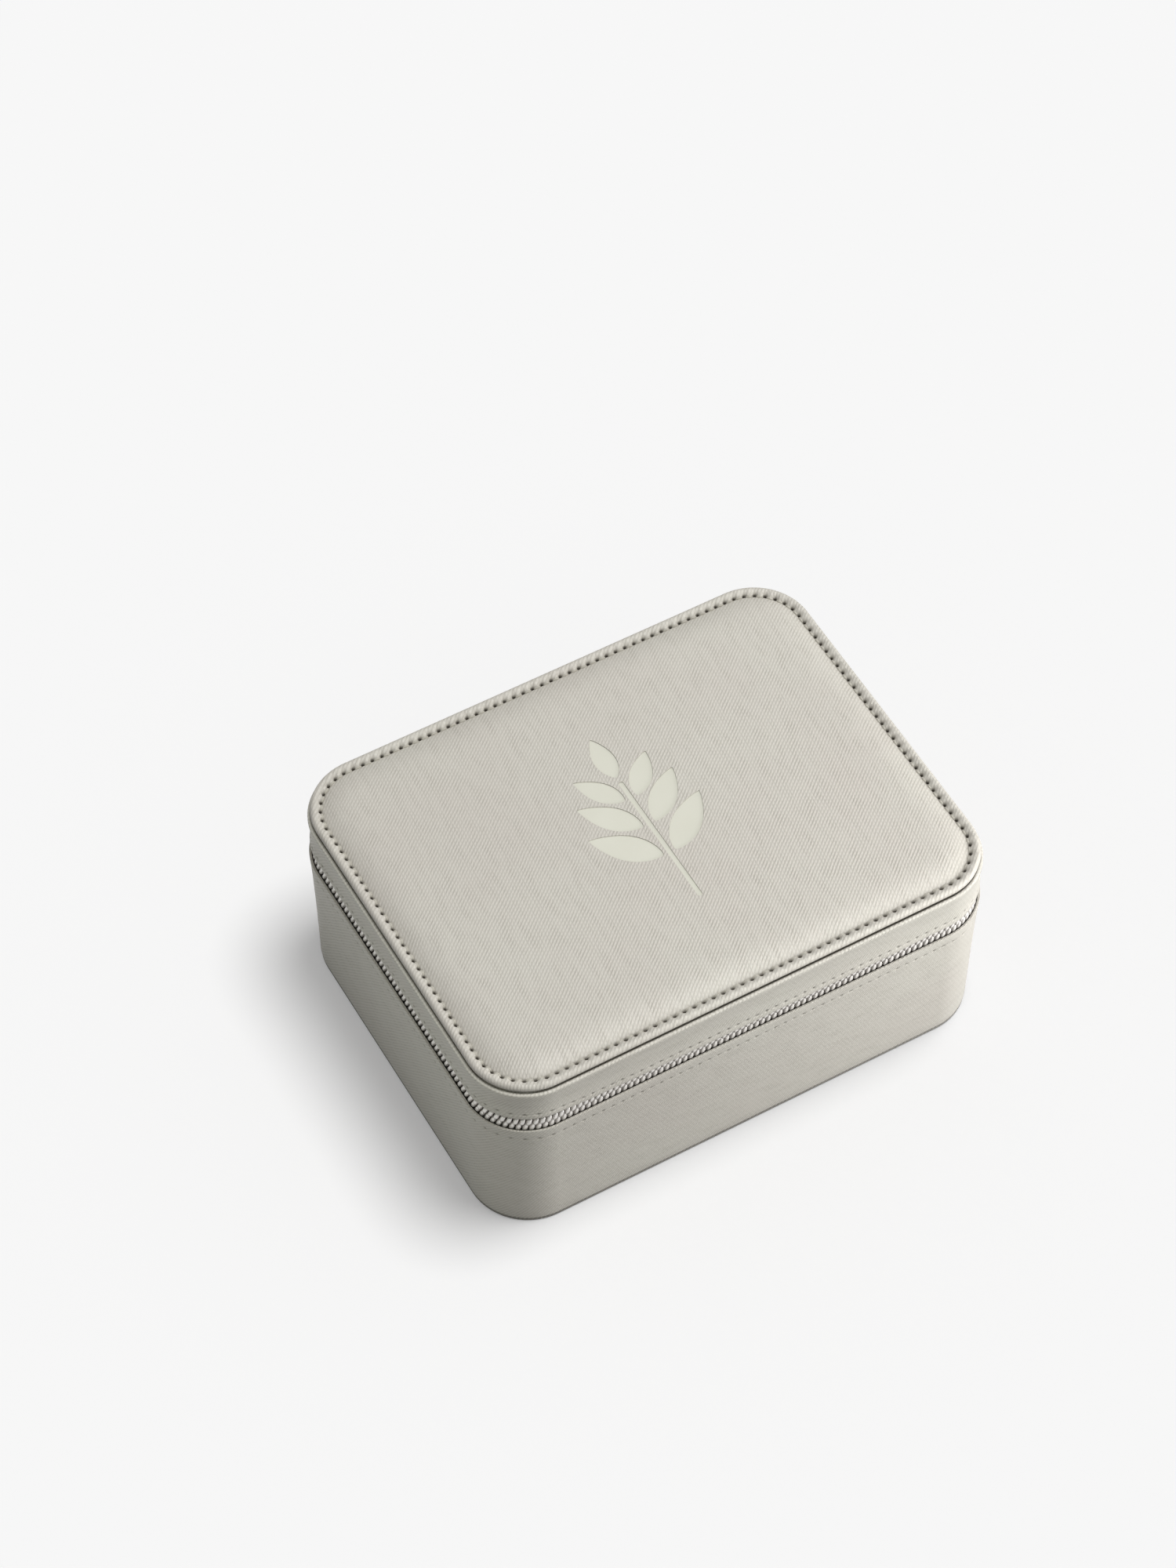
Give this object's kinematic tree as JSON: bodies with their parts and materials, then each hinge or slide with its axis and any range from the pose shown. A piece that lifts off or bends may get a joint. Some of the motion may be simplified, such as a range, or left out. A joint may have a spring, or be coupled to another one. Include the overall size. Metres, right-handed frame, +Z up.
{
  "type": "jewelry box",
  "caption": "Zip-up leather-covered jewelry case with a padded hinged lid, a lid mirror, ring rolls and velvet-lined compartments.",
  "frame": {"origin": "middle of the underside that the case stands on", "axes": "+X to the right along the long front side, +Y from the front to the hinged back, +Z up"},
  "size_m": [0.1785, 0.1346, 0.0748],
  "materials": {
    "leather": "fine cross-hatched grain, satin, warm light grey",
    "spine_leather": "thin soft leather, fine grain, satin, warm light grey",
    "board": "plain greyboard",
    "foam": "open-cell foam, pale",
    "cord": "plain plastic filler cord",
    "velvet": "short-pile velvet, pale greige",
    "zip_tape": "woven polyester tape, mid grey",
    "zip_metal": "polished nickel plate",
    "mirror": "clear silvered glass"
  },
  "bodies": {
    "base": {"base_bottom_panel": "leather", "base_cover": "leather", "base_floor_board": "board", "base_wall_board": "board", "base_side_lining": "velvet", "base_floor_lining": "velvet", "long_divider": "velvet", "front_divider_left": "velvet", "front_divider_right": "velvet", "back_divider": "velvet", "ring_bed": "foam", "ring_roll_1": "velvet", "ring_roll_2": "velvet", "ring_roll_3": "velvet", "ring_roll_4": "velvet", "ring_roll_5": "velvet", "lower_zip_tape": "zip_tape", "lower_zip_teeth": "zip_metal", "lower_stop_left": "zip_metal", "lower_stop_right": "zip_metal", "spine_lower": "spine_leather"},
    "lid": {"lid_top_panel": "leather", "lid_foam_pad": "foam", "lid_edge_cord": "cord", "lid_band": "leather", "lid_board": "board", "lid_wall_board": "board", "lid_side_lining": "velvet", "lid_lining_panel": "velvet", "lid_mirror": "mirror", "mirror_frame": "leather", "upper_zip_tape": "zip_tape", "upper_zip_teeth": "zip_metal", "upper_stop_left": "zip_metal", "upper_stop_right": "zip_metal", "spine_upper": "spine_leather"},
    "front_slider": {"front_slider": "zip_metal"},
    "back_slider": {"back_slider": "zip_metal"},
    "front_pull": {"front_pull": "zip_metal"},
    "back_pull": {"back_pull": "zip_metal"}
  },
  "joints": [
    {"name": "lid_hinge", "type": "hinge", "parent": "base", "child": "lid", "pos_m": [0, 0.0669, 0.0536], "axis": [-1, 0, 0], "range_deg": [0, 105]},
    {"name": "front_slider_slide", "type": "slide", "parent": "base", "child": "front_slider", "axis": [0, -1, 0], "range_m": [0, 0.035]},
    {"name": "back_slider_slide", "type": "slide", "parent": "base", "child": "back_slider", "axis": [0, 1, 0], "range_m": [0, 0.035]},
    {"name": "front_pull_swing", "type": "hinge", "parent": "front_slider", "child": "front_pull", "pos_m": [0.08945, -0.0052, 0.0536], "axis": [0, 0, 1], "range_deg": [0, 150]},
    {"name": "back_pull_swing", "type": "hinge", "parent": "back_slider", "child": "back_pull", "pos_m": [0.08945, 0.0052, 0.0536], "axis": [0, 0, -1], "range_deg": [0, 150]}
  ]
}
